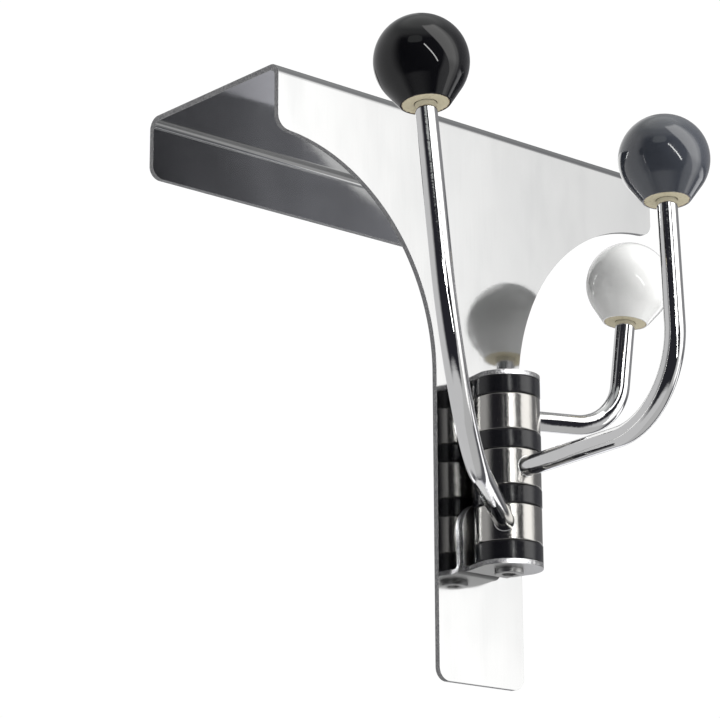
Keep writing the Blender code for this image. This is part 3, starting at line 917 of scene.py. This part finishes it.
def paint_panels(studio, behind):
    """The dark side, the panels and the lamp, and a glow that faces looking down take."""
    azimuth = studio.azimuth
    elevation = studio.elevation
    edge = studio.slanted(1.0, PANEL_SLANT)
    dark = studio.both(studio.above(azimuth, DARK_LEFT), studio.below(edge, DARK_EDGE),
                       studio.below(azimuth, DARK_RIGHT), studio.below(elevation, DARK_TOP),
                       studio.above(elevation, DARK_LOW))
    studio.paint(dark, DARK)
    offsets = []
    for angle, centre, size in zip((azimuth, elevation), SMALL_PANEL_CENTRE, SMALL_PANEL_SIZE):
        offset = studio.math("DIVIDE", studio.math("SUBTRACT", angle, centre), size)
        offsets.append(studio.math("POWER", studio.math("ABSOLUTE", offset), 3.0))
    shape = studio.math("ADD", *offsets)
    studio.paint(studio.smooth(shape, 0.7, 1.3, SMALL_PANEL_SHARE, 0.0), SMALL_PANEL)
    far = studio.slanted(1.0, FAR_SLANT)
    large = studio.both(studio.above(edge, LARGE_PANEL_EDGE), studio.below(far, FAR_DIM_OVER, FAR_DIM),
                        studio.below(far, FAR_END),
                        studio.above(elevation, LARGE_PANEL_DIM_BELOW, LARGE_PANEL_DIM),
                        studio.within(elevation, *LARGE_PANEL_HEIGHT, 3.0))
    studio.paint(large, LARGE_PANEL)
    along = studio.slanted(*LAMP_WAY)
    across = studio.slanted(-LAMP_WAY[1], LAMP_WAY[0])
    lamp = studio.both(studio.within(along, *LAMP_LENGTH, 1.0), studio.within(across, *LAMP_WIDTH, 0.4))
    studio.paint(lamp, LAMP)
    studio.paint(studio.both(behind, studio.within(elevation, *GLOW_HEIGHT, 1.5)), GLOW)


def build_world():
    """A soft studio with one dark side for the metal to reflect, and plain white to the camera."""
    world = bpy.data.worlds.new("studio")
    bpy.context.scene.world = world
    studio = Studio(world)
    behind = paint_walls(studio)
    paint_panels(studio, behind)
    seen = studio.make("ShaderNodeLightPath")
    backdrop = studio.make("ShaderNodeBackground", ((1.0, 1.0, 1.0, 1.0), BACKDROP))
    room = studio.make("ShaderNodeBackground", (studio.sky, 1.0))
    mixed = studio.make("ShaderNodeMixShader", (seen, room, backdrop))
    output = [node for node in studio.nodes if node.type == "OUTPUT_WORLD"][0]
    studio.links.new(mixed, output.inputs["Surface"])


def studio_way(azimuth, elevation):
    """A direction in the row frame from the studio's azimuth and elevation, in degrees."""
    angle = math.radians(azimuth - STUDIO_TURN)
    rise = math.radians(elevation)
    return Vector((math.sin(angle) * math.cos(rise), -math.cos(angle) * math.cos(rise), math.sin(rise)))


def soft_light(name, azimuth, elevation, distance, size, power):
    """A rectangular light aimed at the middle of the object, which the camera doesn't see."""
    data = bpy.data.lights.new(name, "AREA")
    data.shape = "RECTANGLE"
    data.size, data.size_y = size
    data.energy = power
    light = bpy.data.objects.new(name, data)
    bpy.context.scene.collection.objects.link(light)
    way = studio_way(azimuth, elevation)
    light.location = Vector(LIT_POINT) + way * distance
    light.rotation_mode = "QUATERNION"
    light.rotation_quaternion = way.to_track_quat("Z", "Y")
    light.visible_camera = False
    return light


def lit_only(light, pieces):
    """Limits a light to some pieces."""
    takers = bpy.data.collections.new(light.name + "_takers")
    for piece in pieces:
        takers.objects.link(piece)
    light.light_linking.receiver_collection = takers


def build_lights(metal, lugs):
    """A broad key for the painted knobs, a strip that only rods and collars take, and a
    fill for the lugs, which stand in the stack's shade."""
    key = soft_light("key", *KEY, KEY_POWER)
    key.visible_glossy = False
    width, height = STRIP[3]
    strip = soft_light("strip", *STRIP, STRIP_BRIGHTNESS * math.pi * width * height)
    lit_only(strip, metal)
    fill = soft_light("fill", *FILL, FILL_POWER)
    lit_only(fill, lugs)


def build_floor():
    body = bmesh.new()
    bmesh.ops.create_grid(body, x_segments=8, y_segments=8, size=FLOOR_HALF_SIZE)
    floor = new_piece("studio_floor", body, [pale_floor()], Matrix.Translation((0, 0, FLOOR_Z)))
    floor.visible_glossy = False


def build_camera():
    data = bpy.data.cameras.new("camera")
    data.sensor_fit = "HORIZONTAL"
    data.sensor_width = SENSOR
    data.lens = CAMERA_LENS
    data.clip_start = 0.01
    data.clip_end = 20.0
    camera = bpy.data.objects.new("camera", data)
    bpy.context.scene.collection.objects.link(camera)
    camera.location = CAMERA_PLACE
    camera.rotation_euler = [math.radians(angle) for angle in CAMERA_TURN]
    bpy.context.scene.camera = camera


def main():
    finishes = {"sheet": polished_sheet(), "edge": sheared_edge(), "satin": satin_steel(),
                "chrome": bright_metal("chrome", (0.78, 0.78, 0.785), (0.84, 0.84, 0.835),
                                       0.02, 0.05 * MM),
                "nickel": bright_metal("nickel", (0.40, 0.39, 0.375), (0.46, 0.45, 0.43),
                                       0.16, 0.09 * MM),
                "plastic": black_plastic()}
    build_camera()
    build_world()
    build_floor()
    build_plate(finishes)
    lugs = [build_lug("lug_upper", STACK_TOP, -1, finishes),
            build_lug("lug_lower", STACK_LOW, 1, finishes)]
    build_sleeve(finishes)
    build_screw(finishes)
    build_rings(finishes)
    metal = build_arms(finishes)
    build_lights(metal, lugs)
    bpy.context.scene.view_settings.view_transform = "Standard"
    bpy.context.scene.view_settings.look = "None"


main()
